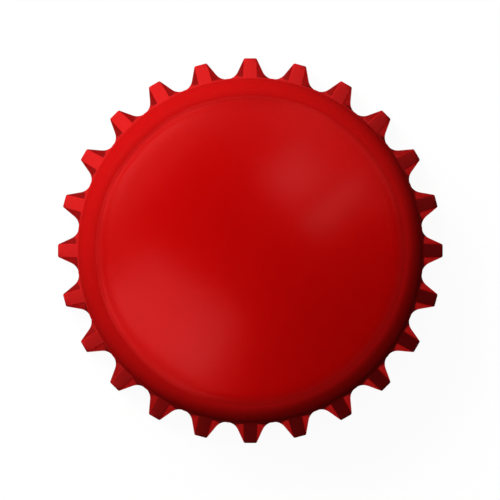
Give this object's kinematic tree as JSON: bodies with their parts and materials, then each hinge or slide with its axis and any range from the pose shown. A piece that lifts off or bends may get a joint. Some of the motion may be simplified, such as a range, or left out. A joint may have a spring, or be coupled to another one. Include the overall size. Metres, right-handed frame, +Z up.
{
  "type": "crown bottle cap",
  "caption": "Red fluted crown cap pressed from tinplate, domed panel up, with a moulded sealing liner inside; it crimps over a glass bottle's mouth.",
  "frame": {"origin": "centre of the rim's circle, on the plane that the cap's rim rests on", "axes": "+Z up along the cap's axis through the panel; one flute's crest lies on +Y"},
  "size_m": [0.032, 0.032, 0.006],
  "materials": {
    "lacquered_tinplate": "glossy red lacquer outside, clear lacquer over bare tinplate inside",
    "liner_compound": "satin off-white moulded compound"
  },
  "bodies": {
    "root": {"shell": "lacquered_tinplate", "liner": "liner_compound"}
  },
  "joints": []
}
